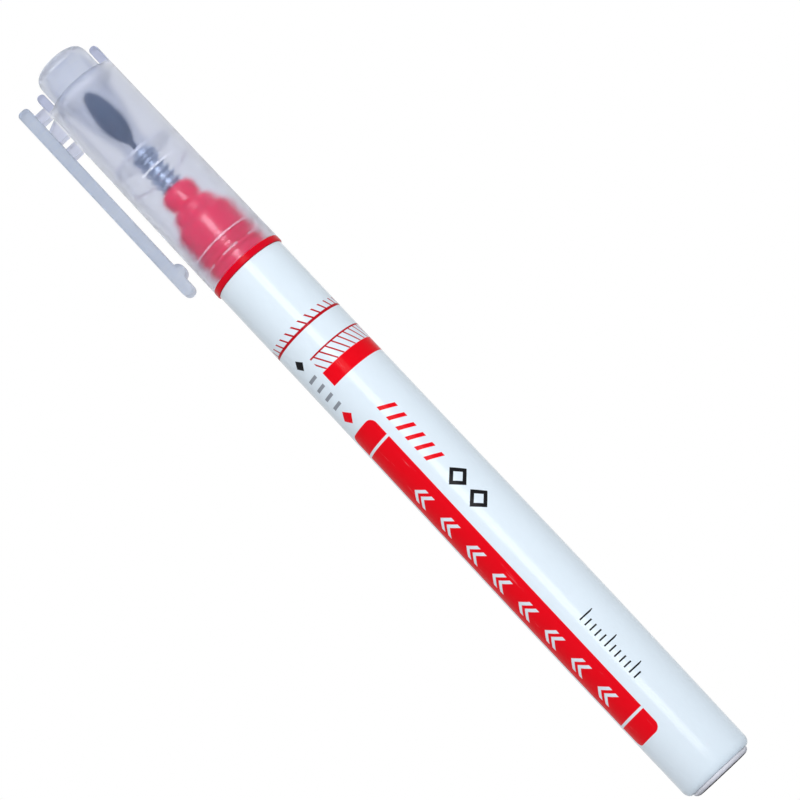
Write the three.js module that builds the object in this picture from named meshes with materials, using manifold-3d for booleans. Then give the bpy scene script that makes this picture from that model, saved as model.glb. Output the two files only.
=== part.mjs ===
// Deep hole marker, capped, standing on its tail.
// Millimetres. Z runs along the marker's axis from the tail to the cap, the clip is on the -X side,
// and the origin is the centre of the flat tail face.

import * as THREE from 'three';
import { mergeVertices } from 'three/addons/utils/BufferGeometryUtils.js';
import Module from 'manifold-3d';

const wasm = await Module();
wasm.setup();

// Driving dimensions: fits
const pressGap = 0.05;
const seatGap = 0.05;
const slideGap = 0.1;
const endGap = 0.3;
const headGap = 0.15;
const collarGap = 0.2;
const wideSteps = 48;
const slimSteps = 24;

// Driving dimensions: barrel
const barrelLength = 97.85;
const barrelRadius = 5.9;
const barrelWall = 0.98;
const barrelBelly = 0.19;
const bellyCentre = 32;
const bellyReach = 45;
const tailCornerInset = 0.9;
const tailCornerHeight = 1.3;

// Driving dimensions: tail plug
const plugRimHeight = 0.7;
const plugRimInset = 0.03;
const plugBevel = 1;
const plugSpigotLength = 8;
const plugSpigotWall = 0.9;
const plugFloor = 1.4;

// Driving dimensions: ink reservoir and its film
const filmThickness = 0.25;
const filmGap = 0.3;
const feedDepth = 9;

// Driving dimensions: nose section
const noseSpigotLength = 14.5;
const noseSpigotWall = 1.3;
const flangeHeight = 1.0;
const flangeProud = 0.03;
const noseRadius = 4.87;
const noseCylinderLength = 8.8;
const noseConeHeight = 1.35;
const noseWaistRadius = 3.9;
const noseWaistHeight = 1.45;
const noseWaistDraft = 0.5;
const noseSlopeHeight = 0.75;
const noseNeckRadius = 2.6;
const noseNeckLength = 3.15;
const noseHeadRadius = 2.9;
const noseHeadEdge = 1.2;
const noseHeadRise = 1.5;
const ridgeProud = 0.12;
const ridgeWidth = 0.28;
const ridgeHeights = [1.85, 2.65, 3.6];

// Driving dimensions: guide tube, collar and spring
const tubeRadius = 1.3;
const tubeWall = 0.85;
const tubeExposed = 7.6;
const tubeFlangeProud = 0.6;
const tubeFlangeHeight = 0.7;
const tubeGuideLength = 12.8;
const pressTravel = 1.5;
const collarRadius = 2.0;
const collarHeight = 0.65;
const collarBelowTubeTop = 0.75;
const springWireRadius = 0.2;
const springBoreGap = 0.22;
const springPitch = 1.2;
const springWireSides = 8;
const springStepsPerTurn = 16;

// Driving dimensions: nib
const nibRadius = 1.84;
const nibNeckLength = 1.35;
const nibHeadLength = 10.3;
const nibBelly = 0.42;

// Driving dimensions: cap shell
const capFitGap = 0.38;
const capMouthRelief = 0.2;
const capMouthReliefHeight = 4.35;
const capStep = 0.15;
const capMouthWall = 0.65;
const capTopWall = 0.95;
const capEndWall = 0.75;
const capShoulderAboveTip = 1.0;
const capShoulderEdge = 0.7;
const capStepBelowSeal = 3.3;
const snapBeadProud = 0.15;
const snapBeadWidth = 0.4;
const snapBeadHeight = 2.0;
const snapBeadCount = 7;
const snapBeadSpan = 30;
const postHeight = 3.15;
const postGap = 0.35;
const postSpan = 26;

// Driving dimensions: nib seal
const sealBaseHeight = 0.65;
const sealBaseBelowTubeTop = 1.2;
const sealThroatAboveTubeTop = 0.7;
const sealThroatLength = 0.6;
const sealWall = 0.45;
const sealConeLength = 5.2;
const sealConeRadius = 3.0;
const sealTopRadius = 3.3;

// Driving dimensions: crown plug
const crownRadius = 4.3;
const crownWall = 0.9;
const crownHeight = 5.45;
const crownEdge = 1.9;
const crownTopWall = 1.2;
const crownFlangeProud = 0.5;
const crownFlangeHeight = 0.6;

// Driving dimensions: clip
const clipThickness = 1.9;
const clipWidth = 3.4;
const clipGap = 1.7;
const clipAboveShoulder = 3.15;
const clipAboveMouth = 2.0;
const clipTopCorner = 0.65;
const clipEdge = 0.25;
const clipHingeGap = 0.2;
const strutWidth = 2.4;
const upperStrut = { top: -1.4, bottom: 0.31 };
const middleStrut = { top: 1.76, bottom: 4.06 };
const lowerStrut = { top: 5.4, bottom: 7.2 };
const windowSlant = 1.0;
const bumpRadius = 1.2;
const bumpInset = 0.28;
const bumpAboveMouth = 5.7;

// Heights along the axis
const barrelBottom = plugRimHeight + seatGap;
const barrelTop = barrelBottom + barrelLength;
const flangeBottom = barrelTop + seatGap;
const flangeTop = flangeBottom + flangeHeight;
const noseConeBottom = flangeTop + noseCylinderLength;
const noseWaistBottom = noseConeBottom + noseConeHeight;
const noseWaistTop = noseWaistBottom + noseWaistHeight;
const noseNeckBottom = noseWaistTop + noseSlopeHeight;
const noseTop = noseNeckBottom + noseNeckLength;
const noseSpigotBottom = barrelTop - noseSpigotLength;
const tubeTop = noseTop + tubeExposed;
const tubeStop = noseTop - tubeGuideLength;
const collarTop = tubeTop - collarBelowTubeTop;
const collarBottom = collarTop - collarHeight;
const nibHeadBase = tubeTop + seatGap + nibNeckLength;
const nibTip = nibHeadBase + nibHeadLength;
const reservoirBottom = barrelBottom + plugSpigotLength + endGap;
const reservoirTop = noseSpigotBottom - endGap;
const capMouth = flangeTop + seatGap;
const sealBottom = tubeTop - sealBaseBelowTubeTop;
const sealLedge = sealBottom + sealBaseHeight + seatGap;
const capShoulder = nibTip + capShoulderAboveTip;
const capEndBottom = capShoulder - capEndWall;
const crownBottom = capEndBottom - slideGap - crownFlangeHeight;
const sealRim = crownBottom - slideGap;
const crownTop = capShoulder + crownHeight;

// Radii
const barrelBore = barrelRadius - barrelWall;
const filmOuter = barrelBore - filmGap;
const filmInner = filmOuter - filmThickness;
const reservoirRadius = filmInner - pressGap;
const tubeBore = tubeRadius - tubeWall;
const shankRadius = tubeBore - pressGap;
const feedBore = shankRadius + slideGap;
const noseBore = tubeRadius + slideGap;
const noseSpigotRadius = barrelBore - pressGap;
const capBore = noseRadius + capFitGap;
const capMouthBore = capBore + capMouthRelief;
const capMiddleBore = capBore - capStep;
const capUpperBore = capMiddleBore - capStep;
const capMouthRadius = capMouthBore + capMouthWall;
const capTopRadius = capUpperBore + capTopWall;
const flangeRadius = capMouthRadius + flangeProud;
const sealBaseBore = collarRadius + collarGap;
const sealThroat = nibRadius + headGap;
const crownHole = crownRadius + slideGap;
const postInner = crownRadius + postGap;
const clipInnerX = -(capTopRadius + clipGap);
const clipOuterX = clipInnerX - clipThickness;

// A solid of revolution about Z from a list of [radius, height] points, outside going up.
function turned(profile, steps = wideSteps) {
  const points = profile.map(([radius, height]) => new THREE.Vector2(radius, height));
  const [first] = points;
  const last = points[points.length - 1];
  if (first.x > 0 || last.x > 0) {
    points.push(first.clone());
  }
  return new THREE.LatheGeometry(points, steps).rotateX(Math.PI / 2);
}

// Points on an elliptic arc in the profile plane, angles in degrees.
function arc([radius, height], radialSize, axialSize, from, to, steps) {
  return Array.from({ length: steps + 1 }, (_, i) => {
    const angle = THREE.MathUtils.degToRad(from + ((to - from) * i) / steps);
    return [radius + radialSize * Math.cos(angle), height + axialSize * Math.sin(angle)];
  });
}

// An outline in the XZ plane, extruded by a width centred on Y.
function plate(shape, width, edge) {
  const geometry = new THREE.ExtrudeGeometry(shape, {
    depth: width - 2 * edge,
    bevelEnabled: edge > 0,
    bevelThickness: edge,
    bevelSize: edge,
    bevelOffset: -edge,
    bevelSegments: 1,
    curveSegments: 8,
  });
  return geometry.translate(0, 0, edge - width / 2).rotateX(Math.PI / 2);
}

// A ring sector between two radii and two heights, centred on an azimuth, angles in degrees.
function ringSector(inner, outer, bottom, top, azimuth, span) {
  const from = THREE.MathUtils.degToRad(azimuth - span / 2);
  const to = THREE.MathUtils.degToRad(azimuth + span / 2);
  const shape = new THREE.Shape();
  shape.absarc(0, 0, outer, from, to, false);
  shape.absarc(0, 0, inner, to, from, true);
  shape.closePath();
  const options = { depth: top - bottom, bevelEnabled: false, curveSegments: 8 };
  return new THREE.ExtrudeGeometry(shape, options).translate(0, 0, bottom);
}

function toManifold(geometry) {
  const bare = geometry.clone();
  bare.deleteAttribute('normal');
  bare.deleteAttribute('uv');
  const merged = mergeVertices(bare, 1e-5);
  return new wasm.Manifold(new wasm.Mesh({
    numProp: 3,
    vertProperties: new Float32Array(merged.attributes.position.array),
    triVerts: new Uint32Array(merged.index.array),
  }));
}

function fromManifold(solid) {
  const mesh = solid.getMesh();
  const geometry = new THREE.BufferGeometry();
  geometry.setAttribute('position', new THREE.BufferAttribute(new Float32Array(mesh.vertProperties), 3));
  geometry.setIndex(new THREE.BufferAttribute(new Uint32Array(mesh.triVerts), 1));
  geometry.computeVertexNormals();
  return geometry;
}

function joined(geometries) {
  const [first, ...rest] = geometries.map(toManifold);
  return fromManifold(rest.reduce((whole, piece) => whole.add(piece), first));
}

// Radius of the gently bellied barrel at a height.
function barrelOuter(height) {
  const offset = (height - bellyCentre) / bellyReach;
  const rise = Math.abs(offset) < 1 ? Math.cos((offset * Math.PI) / 2) ** 2 : 0;
  return barrelRadius + barrelBelly * rise;
}

function makeBarrel() {
  const cornerTop = barrelBottom + tailCornerHeight;
  const centre = [barrelOuter(cornerTop) - tailCornerInset, cornerTop];
  const corner = arc(centre, tailCornerInset, tailCornerHeight, -90, 0, 4);
  const bellySteps = 8;
  const side = Array.from({ length: bellySteps }, (_, i) => {
    const height = cornerTop + ((barrelTop - cornerTop) * (i + 1)) / bellySteps;
    return [barrelOuter(height), height];
  });
  return turned([...corner, ...side, [barrelBore, barrelTop], [barrelBore, barrelBottom]]);
}

function makeTailPlug() {
  const rimRadius = barrelOuter(barrelBottom + tailCornerHeight) - tailCornerInset - plugRimInset;
  const bevel = arc([rimRadius - plugBevel, plugRimHeight], plugBevel, plugRimHeight, -90, 0, 4);
  const spigotRadius = barrelBore - pressGap;
  const spigotTop = barrelBottom + plugSpigotLength;
  return turned([
    [0, 0],
    ...bevel,
    [spigotRadius, plugRimHeight],
    [spigotRadius, spigotTop],
    [spigotRadius - plugSpigotWall, spigotTop],
    [spigotRadius - plugSpigotWall, plugFloor],
    [0, plugFloor],
  ]);
}

function makeReservoir() {
  const boreBottom = reservoirTop - feedDepth - pressTravel - endGap;
  return turned([
    [0, reservoirBottom],
    [reservoirRadius, reservoirBottom],
    [reservoirRadius, reservoirTop],
    [feedBore, reservoirTop],
    [feedBore, boreBottom],
    [0, boreBottom],
  ], slimSteps);
}

function makeReservoirFilm() {
  return turned([
    [filmInner, reservoirBottom],
    [filmOuter, reservoirBottom],
    [filmOuter, reservoirTop],
    [filmInner, reservoirTop],
  ], slimSteps);
}

// The small retaining ridges round the nose, as steps in its outline.
function ridgeOutline() {
  return ridgeHeights.flatMap((height) => {
    const middle = flangeTop + height;
    return [
      [noseRadius, middle - ridgeWidth],
      [noseRadius + ridgeProud, middle],
      [noseRadius, middle + ridgeWidth],
    ];
  });
}

function makeNoseSection() {
  const spigotBore = noseSpigotRadius - noseSpigotWall;
  const chamberTop = tubeStop - tubeFlangeHeight - pressTravel - endGap;
  const coneHeight = spigotBore - noseBore - tubeFlangeProud;
  const counterbore = tubeRadius + tubeFlangeProud + slideGap;
  return turned([
    [spigotBore, noseSpigotBottom],
    [noseSpigotRadius, noseSpigotBottom],
    [noseSpigotRadius, flangeBottom],
    [flangeRadius, flangeBottom],
    [flangeRadius, flangeTop],
    [noseRadius, flangeTop],
    ...ridgeOutline(),
    [noseRadius, noseConeBottom],
    [noseWaistRadius, noseWaistBottom],
    [noseWaistRadius - noseWaistDraft, noseWaistTop],
    [noseNeckRadius, noseNeckBottom],
    ...arc([noseHeadRadius - noseHeadEdge, noseTop - noseHeadRise], noseHeadEdge, noseHeadRise, 0, 90, 5),
    [noseBore, noseTop],
    [noseBore, tubeStop],
    [counterbore, tubeStop],
    [counterbore, chamberTop],
    [spigotBore, chamberTop - coneHeight],
  ]);
}

function makeGuideTube() {
  const flangeRim = tubeRadius + tubeFlangeProud;
  const flangeUpper = tubeStop - slideGap;
  const flangeLower = flangeUpper - tubeFlangeHeight;
  return turned([
    [tubeBore, flangeLower],
    [flangeRim, flangeLower],
    [flangeRim, flangeUpper],
    [tubeRadius, flangeUpper],
    [tubeRadius, tubeTop],
    [tubeBore, tubeTop],
  ], slimSteps);
}

function makeSpringCollar() {
  const bore = tubeRadius + pressGap;
  const edge = collarHeight / 4;
  return turned([
    [bore, collarBottom],
    [collarRadius - edge, collarBottom],
    [collarRadius, collarBottom + edge],
    [collarRadius, collarTop - edge],
    [collarRadius - edge, collarTop],
    [bore, collarTop],
  ], slimSteps);
}

// Centre line of the spring's wire between the nose and the collar.
class SpringLine extends THREE.Curve {
  constructor(radius, bottom, top, turns) {
    super();
    Object.assign(this, { radius, bottom, top, turns });
  }

  getPoint(t, target = new THREE.Vector3()) {
    const angle = 2 * Math.PI * this.turns * t;
    const height = THREE.MathUtils.lerp(this.bottom, this.top, t);
    return target.set(this.radius * Math.cos(angle), this.radius * Math.sin(angle), height);
  }
}

function makeTubeSpring() {
  const coilRadius = tubeRadius + springBoreGap + springWireRadius;
  const bottom = noseTop + springWireRadius + slideGap;
  const top = collarBottom - springWireRadius - slideGap;
  const turns = (top - bottom) / springPitch;
  const wire = new THREE.Shape();
  wire.absarc(0, 0, springWireRadius, 0, 2 * Math.PI, false);
  return new THREE.ExtrudeGeometry(wire, {
    extrudePath: new SpringLine(coilRadius, bottom, top, turns),
    steps: Math.round(turns * springStepsPerTurn),
    curveSegments: springWireSides / 2,
    bevelEnabled: false,
  });
}

// The nib's head swells from its neck to its belly and runs out in half an ellipse to its tip.
function nibOutline() {
  const bellyHeight = nibHeadBase + nibBelly * nibHeadLength;
  const lowerSteps = 5;
  const lower = Array.from({ length: lowerSteps + 1 }, (_, i) => {
    const t = i / lowerSteps;
    const swell = THREE.MathUtils.lerp(shankRadius, nibRadius, Math.sin((t * Math.PI) / 2));
    return [swell, THREE.MathUtils.lerp(nibHeadBase, bellyHeight, t)];
  });
  const upper = arc([0, bellyHeight], nibRadius, nibTip - bellyHeight, 9, 81, 8);
  return [...lower, ...upper, [0, nibTip]];
}

function makeNib() {
  const shankBottom = reservoirTop - feedDepth;
  return turned([
    [0, shankBottom],
    [shankRadius / 2, shankBottom],
    [shankRadius, shankBottom + shankRadius],
    ...nibOutline(),
  ], slimSteps);
}

function makeCapTube() {
  const stepHeight = sealBottom - capStepBelowSeal;
  const reliefTop = capMouth + capMouthReliefHeight;
  const edge = capShoulderEdge;
  return turned([
    [capMouthBore, capMouth],
    [capMouthRadius, capMouth],
    ...arc([capTopRadius - edge, capShoulder - edge], edge, edge, 0, 90, 3),
    [crownHole, capShoulder],
    [crownHole, capEndBottom],
    [capUpperBore, capEndBottom],
    [capUpperBore, sealLedge],
    [capMiddleBore, sealLedge],
    [capMiddleBore, stepHeight],
    [capBore, stepHeight],
    [capBore, reliefTop],
    [capMouthBore, reliefTop],
  ]);
}

// Short beads inside the mouth that snap over the nose's ridges.
function makeSnapBeads() {
  const bottom = capMouth + snapBeadHeight;
  const inner = capMouthBore - snapBeadProud;
  const outer = capMouthBore + capMouthWall / 2;
  return Array.from({ length: snapBeadCount }, (_, i) => {
    const azimuth = -90 + (360 * i) / snapBeadCount;
    return ringSector(inner, outer, bottom, bottom + snapBeadWidth, azimuth, snapBeadSpan);
  });
}

// The two posts that stand on the shoulder beside the crown.
function makePosts() {
  const bottom = capShoulder - capShoulderEdge;
  const top = capShoulder + postHeight;
  return [0, 180].map((azimuth) => ringSector(postInner, capTopRadius, bottom, top, azimuth, postSpan));
}

// The clip's fixed upper bar, from its rounded top down to the flexing line.
function makeClipRoot() {
  const top = capShoulder + clipAboveShoulder;
  const bottom = capShoulder - lowerStrut.bottom;
  const corner = top - clipTopCorner;
  const shape = new THREE.Shape();
  shape.moveTo(clipOuterX, bottom);
  shape.lineTo(clipInnerX, bottom);
  shape.absarc(clipInnerX - clipTopCorner, corner, clipTopCorner, 0, Math.PI / 2, false);
  shape.absarc(clipOuterX + clipTopCorner, corner, clipTopCorner, Math.PI / 2, Math.PI, false);
  shape.closePath();
  return plate(shape, clipWidth, clipEdge);
}

// One strut between the bar and the cap's wall, its upper edge rising by a slant towards the cap.
function makeStrut({ top, bottom }, slant) {
  const wallX = -(capUpperBore + capTopWall / 2);
  const barX = clipInnerX - clipThickness / 2;
  const shape = new THREE.Shape();
  shape.moveTo(barX, capShoulder - bottom);
  shape.lineTo(wallX, capShoulder - bottom);
  shape.lineTo(wallX, capShoulder - top + slant);
  shape.lineTo(clipInnerX, capShoulder - top);
  shape.lineTo(barX, capShoulder - top);
  shape.closePath();
  return plate(shape, strutWidth, 0);
}

function makeCapShell() {
  return joined([
    makeCapTube(),
    ...makeSnapBeads(),
    ...makePosts(),
    makeClipRoot(),
    makeStrut(upperStrut, 0),
    makeStrut(middleStrut, windowSlant),
    makeStrut(lowerStrut, 0),
  ]);
}

function makeClipArm() {
  const top = capShoulder - lowerStrut.bottom - clipHingeGap;
  const bottom = capMouth + clipAboveMouth;
  const middle = (clipInnerX + clipOuterX) / 2;
  const bumpCentre = capMouth + bumpAboveMouth;
  const bumpSpan = Math.acos(bumpInset / bumpRadius);
  const shape = new THREE.Shape();
  shape.moveTo(clipInnerX, top);
  shape.lineTo(clipOuterX, top);
  shape.absarc(middle, bottom + clipThickness / 2, clipThickness / 2, Math.PI, 2 * Math.PI, false);
  shape.absarc(clipInnerX - bumpInset, bumpCentre, bumpRadius, -bumpSpan, bumpSpan, false);
  shape.closePath();
  return plate(shape, clipWidth, clipEdge);
}

function makeNibSeal() {
  const baseTop = sealBottom + sealBaseHeight;
  const baseRadius = capMiddleBore - pressGap;
  const throatBottom = tubeTop + sealThroatAboveTubeTop;
  const throatTop = throatBottom + sealThroatLength;
  const coneTop = throatTop + sealConeLength;
  return turned([
    [sealBaseBore, sealBottom],
    [baseRadius, sealBottom],
    [baseRadius, baseTop],
    [sealBaseBore + sealWall, baseTop],
    [sealThroat + sealWall, throatBottom],
    [sealConeRadius + sealWall, coneTop],
    [sealTopRadius + sealWall, sealRim],
    [sealTopRadius, sealRim],
    [sealConeRadius, coneTop],
    [sealThroat, throatTop],
    [sealThroat, throatBottom],
    [sealBaseBore, baseTop],
  ]);
}

function makeCapCrown() {
  const flangeRim = crownRadius + crownFlangeProud;
  const flangeUpper = crownBottom + crownFlangeHeight;
  const hollow = crownRadius - crownWall;
  const hollowTop = crownTop - crownTopWall;
  return turned([
    [hollow, crownBottom],
    [flangeRim, crownBottom],
    [flangeRim, flangeUpper],
    [crownRadius, flangeUpper],
    ...arc([crownRadius - crownEdge, crownTop - crownEdge], crownEdge, crownEdge, 0, 90, 5),
    [0, crownTop],
    [0, hollowTop],
    [hollow, hollowTop],
  ]);
}

function material(color, roughness, metalness = 0) {
  return new THREE.MeshStandardMaterial({ color, roughness, metalness });
}

const whitePlastic = material('#e6eaf4', 0.32);
const redPlastic = material('#e3122b', 0.3);
const frostedPlastic = material('#c0cad9', 0.4);
const steel = material('#98a2b2', 0.28, 1);
const inkedFibre = material('#1b2740', 0.9);
const wickFibre = material('#b5232f', 0.95);
const clearFilm = material('#d9dee6', 0.2);

const marker = new THREE.Group();

function addPart(name, geometry, finish) {
  const mesh = new THREE.Mesh(geometry, finish);
  mesh.name = name;
  marker.add(mesh);
}

addPart('barrel', makeBarrel(), whitePlastic);
addPart('tail_plug', makeTailPlug(), whitePlastic);
addPart('ink_reservoir', makeReservoir(), wickFibre);
addPart('reservoir_film', makeReservoirFilm(), clearFilm);
addPart('nose_section', makeNoseSection(), redPlastic);
addPart('guide_tube', makeGuideTube(), steel);
addPart('spring_collar', makeSpringCollar(), steel);
addPart('tube_spring', makeTubeSpring(), steel);
addPart('nib', makeNib(), inkedFibre);
addPart('cap_shell', makeCapShell(), frostedPlastic);
addPart('cap_crown', makeCapCrown(), frostedPlastic);
addPart('nib_seal', makeNibSeal(), frostedPlastic);
addPart('clip_arm', makeClipArm(), frostedPlastic);

export default marker;
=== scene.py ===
import logging
import math
from dataclasses import dataclass, replace
from enum import Enum
from functools import reduce
from typing import Any, Iterable, Mapping, Sequence

import bmesh
import bpy
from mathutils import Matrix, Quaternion, Vector


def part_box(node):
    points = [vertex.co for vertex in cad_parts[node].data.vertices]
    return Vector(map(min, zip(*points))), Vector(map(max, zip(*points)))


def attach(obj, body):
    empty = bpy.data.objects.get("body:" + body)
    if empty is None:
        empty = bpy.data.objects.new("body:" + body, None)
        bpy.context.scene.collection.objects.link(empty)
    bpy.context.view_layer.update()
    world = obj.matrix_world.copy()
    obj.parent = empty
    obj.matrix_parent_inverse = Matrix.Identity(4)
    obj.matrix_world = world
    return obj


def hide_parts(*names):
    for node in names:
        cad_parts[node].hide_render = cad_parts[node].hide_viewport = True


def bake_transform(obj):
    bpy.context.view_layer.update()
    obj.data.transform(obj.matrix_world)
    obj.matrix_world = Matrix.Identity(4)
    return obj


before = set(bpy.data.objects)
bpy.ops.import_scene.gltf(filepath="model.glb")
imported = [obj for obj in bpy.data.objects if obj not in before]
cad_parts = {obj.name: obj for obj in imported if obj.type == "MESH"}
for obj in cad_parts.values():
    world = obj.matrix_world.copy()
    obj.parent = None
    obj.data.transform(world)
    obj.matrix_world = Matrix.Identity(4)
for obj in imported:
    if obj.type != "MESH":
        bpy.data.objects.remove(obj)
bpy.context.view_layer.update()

LOG = logging.getLogger("marker")
MM = 0.001
ROUND_STEPS = 128
FINE_STEPS = 96
COARSE_STEPS = 64
RIM_STEPS = 3
SECTOR_STRETCH = 2.8
EDGE_SHARE = 0.48
SHARP_ANGLE = math.radians(38)
PLASTIC_IOR = 1.49
MIX_INPUTS = (0, 6, 7)
MIX_RESULT = 2
WHITE = (1.0, 1.0, 1.0)

Point = tuple[float, float]
Triple = tuple[float, float, float]
Colour = Triple
Piece = bpy.types.Object
Material = bpy.types.Material
Socket = bpy.types.NodeSocket


class Body(Enum):
    """The rigid bodies of the marker."""

    MARKER = "marker"
    TIP = "tip"
    CAP = "cap"
    CLIP = "clip"


class Slot(Enum):
    """The finish slots of the record."""

    WHITE = "white_plastic"
    PLUG = "plug_plastic"
    RED = "red_plastic"
    STEEL = "steel"
    NIB = "nib_fibre"
    WICK = "wick_fibre"
    FILM = "clear_film"
    FROSTED = "frosted_plastic"
    CLEAR = "clear_plastic"


class Edge(float, Enum):
    """Roundings of moulded edges, in millimetres."""

    CRISP = 0.05
    FINE = 0.1
    LIP = 0.12
    SMALL = 0.15
    FLANGE = 0.16
    BASE = 0.2
    MOUTH = 0.22
    SOFT = 0.3
    WAIST = 0.35
    CONE = 0.5


@dataclass(frozen=True)
class Span:
    """The height range and outer radius of a node, in millimetres."""

    bottom: float
    top: float
    radius: float

    @classmethod
    def of(cls, node: str) -> "Span":
        """A node's lowest and highest height at rest, and its reach along +X."""
        low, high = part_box(node)
        return cls(low.z / MM, high.z / MM, high.x / MM)


# Outlines and meshes, in millimetres


@dataclass(frozen=True)
class Corner:
    """A corner of an outline, with the size of its rounding, in millimetres."""

    across: float
    height: float
    rounding: float = 0.0


def softened(corners: Sequence[Corner], closed: bool, steps: int = 5) -> list[Point]:
    """Turn corners into an outline whose corners are rounded.

    Args:
        corners: the corners in order.
        closed: whether the last corner joins the first one.
        steps: stretches on each rounding.

    Returns:
        The points of the outline.
    """
    points: list[Point] = []
    count = len(corners)
    for index, corner in enumerate(corners):
        here = Vector((corner.across, corner.height))
        at_end = not closed and index in (0, count - 1)
        if corner.rounding <= 0 or at_end:
            points.append((here.x, here.y))
            continue
        before, after = corners[index - 1], corners[(index + 1) % count]
        back = Vector((before.across, before.height)) - here
        ahead = Vector((after.across, after.height)) - here
        reach = min(corner.rounding, EDGE_SHARE * back.length, EDGE_SHARE * ahead.length)
        start = here + back.normalized() * reach
        end = here + ahead.normalized() * reach
        for step in range(steps + 1):
            t = step / steps
            spot = start * (1 - t) ** 2 + here * (2 * t * (1 - t)) + end * t**2
            points.append((spot.x, spot.y))
    return points


def arc_points(centre: Point, size: Point, start: float, end: float, steps: int) -> list[Point]:
    """Points on an arc of an ellipse.

    Args:
        centre: centre of the ellipse.
        size: half its size across and along.
        start: first angle, in degrees.
        end: last angle, in degrees.
        steps: number of stretches.

    Returns:
        The points from the first angle to the last one.
    """
    angles = [math.radians(start + (end - start) * i / steps) for i in range(steps + 1)]
    return [(centre[0] + size[0] * math.cos(a), centre[1] + size[1] * math.sin(a)) for a in angles]


def straight_points(start: Point, end: Point, steps: int) -> list[Point]:
    """Evenly spaced points on a line of so many stretches, its two ends left out."""
    return [
        (start[0] + (end[0] - start[0]) * i / steps, start[1] + (end[1] - start[1]) * i / steps)
        for i in range(1, steps)
    ]


def mesh_object(name: str, mesh: bmesh.types.BMesh) -> Piece:
    """Make an object of an edit mesh in millimetres, smooth with sharp edges where it turns.

    Args:
        name: name of the piece.
        mesh: the edit mesh, which is freed.

    Returns:
        The linked object, in metres.
    """
    bmesh.ops.recalc_face_normals(mesh, faces=mesh.faces)
    data = bpy.data.meshes.new(name)
    mesh.to_mesh(data)
    mesh.free()
    data.transform(((MM, 0, 0, 0), (0, MM, 0, 0), (0, 0, MM, 0), (0, 0, 0, 1)))
    data.shade_smooth()
    data.set_sharp_from_angle(angle=SHARP_ANGLE)
    made = bpy.data.objects.new(name, data)
    bpy.context.scene.collection.objects.link(made)
    return made


def turned(name: str, outline: Sequence[Point], steps: int = ROUND_STEPS) -> Piece:
    """Revolve an outline of (radius, height) points about Z.

    Args:
        name: name of the piece.
        outline: the points; it starts and ends on the axis, or closes on itself.
        steps: number of sides.

    Returns:
        The closed solid of revolution.
    """
    mesh = bmesh.new()
    turns = [2 * math.pi * i / steps for i in range(steps)]
    rings = []
    for radius, height in outline:
        angles = turns if radius > 0 else [0.0]
        rings.append([mesh.verts.new((radius * math.cos(a), radius * math.sin(a), height)) for a in angles])
    open_ended = len(rings[0]) == 1 and len(rings[-1]) == 1
    for lower, upper in zip(rings, rings[1:] if open_ended else rings[1:] + rings[:1]):
        for i in range(steps):
            spots = ((lower, i), (lower, i + 1), (upper, i + 1), (upper, i))
            corners = dict.fromkeys(ring[k % len(ring)] for ring, k in spots)
            if len(corners) > 2:
                mesh.faces.new(list(corners))
    return mesh_object(name, mesh)


def lofted(name: str, rings: Sequence[Sequence[Sequence[float]]]) -> Piece:
    """Join closed rings of points, one after the other, and close both ends.

    Args:
        name: name of the piece.
        rings: the rings, of as many points each.

    Returns:
        The closed solid.
    """
    mesh = bmesh.new()
    made = [[mesh.verts.new(spot) for spot in ring] for ring in rings]
    for before, after in zip(made, made[1:]):
        for i in range(len(before)):
            mesh.faces.new((before[i - 1], before[i], after[i], after[i - 1]))
    mesh.faces.new(made[0])
    mesh.faces.new(made[-1])
    return mesh_object(name, mesh)


def inward_steps(outline: Sequence[Point]) -> list[Vector]:
    """The way from each point of a closed outline to its inset, for an inset of one.

    Args:
        outline: the points, in order.

    Returns:
        One step for each point, longer at corners.
    """
    least_cosine = 0.5
    points = [Vector(point) for point in outline]
    following = points[1:] + points[:1]
    turning = sum(a.x * b.y - b.x * a.y for a, b in zip(points, following))
    side = 1 if turning > 0 else -1
    normals = [(b - a).normalized().orthogonal() * side for a, b in zip(points, following)]
    steps = []
    for before, after in zip(normals[-1:] + normals[:-1], normals):
        middle = (before + after).normalized()
        steps.append(middle / max(middle.dot(after), least_cosine))
    return steps


def plate(name: str, outline: Sequence[Point], width: float, edge: float) -> Piece:
    """Extrude an outline in the XZ plane along Y, centred, with rounded rims.

    Args:
        name: name of the piece.
        outline: the points, in order.
        width: width along Y.
        edge: size of the rounding of both rims.

    Returns:
        The closed plate.
    """
    rim = arc_points((0, edge - width / 2), (edge, edge), -90, 0, RIM_STEPS)
    levels = [(edge - reach, y) for reach, y in rim]
    levels += [(inset, -y) for inset, y in reversed(levels)]
    spots = list(zip(outline, inward_steps(outline)))
    return lofted(name, [
        [(x + step.x * inset, y, z + step.y * inset) for (x, z), step in spots] for inset, y in levels
    ])


def ring_sector(name: str, section: Sequence[Point], azimuth: float, span: float) -> Piece:
    """Sweep a closed (radius, height) section through part of a turn.

    Args:
        name: name of the piece.
        section: the points of the section.
        azimuth: middle of the sweep, in degrees.
        span: size of the sweep, in degrees.

    Returns:
        The closed sector.
    """
    steps = round(span / SECTOR_STRETCH)
    angles = [math.radians(azimuth + span * (step / steps - 0.5)) for step in range(steps + 1)]
    return lofted(name, [[(r * math.cos(a), r * math.sin(a), z) for r, z in section] for a in angles])


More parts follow.
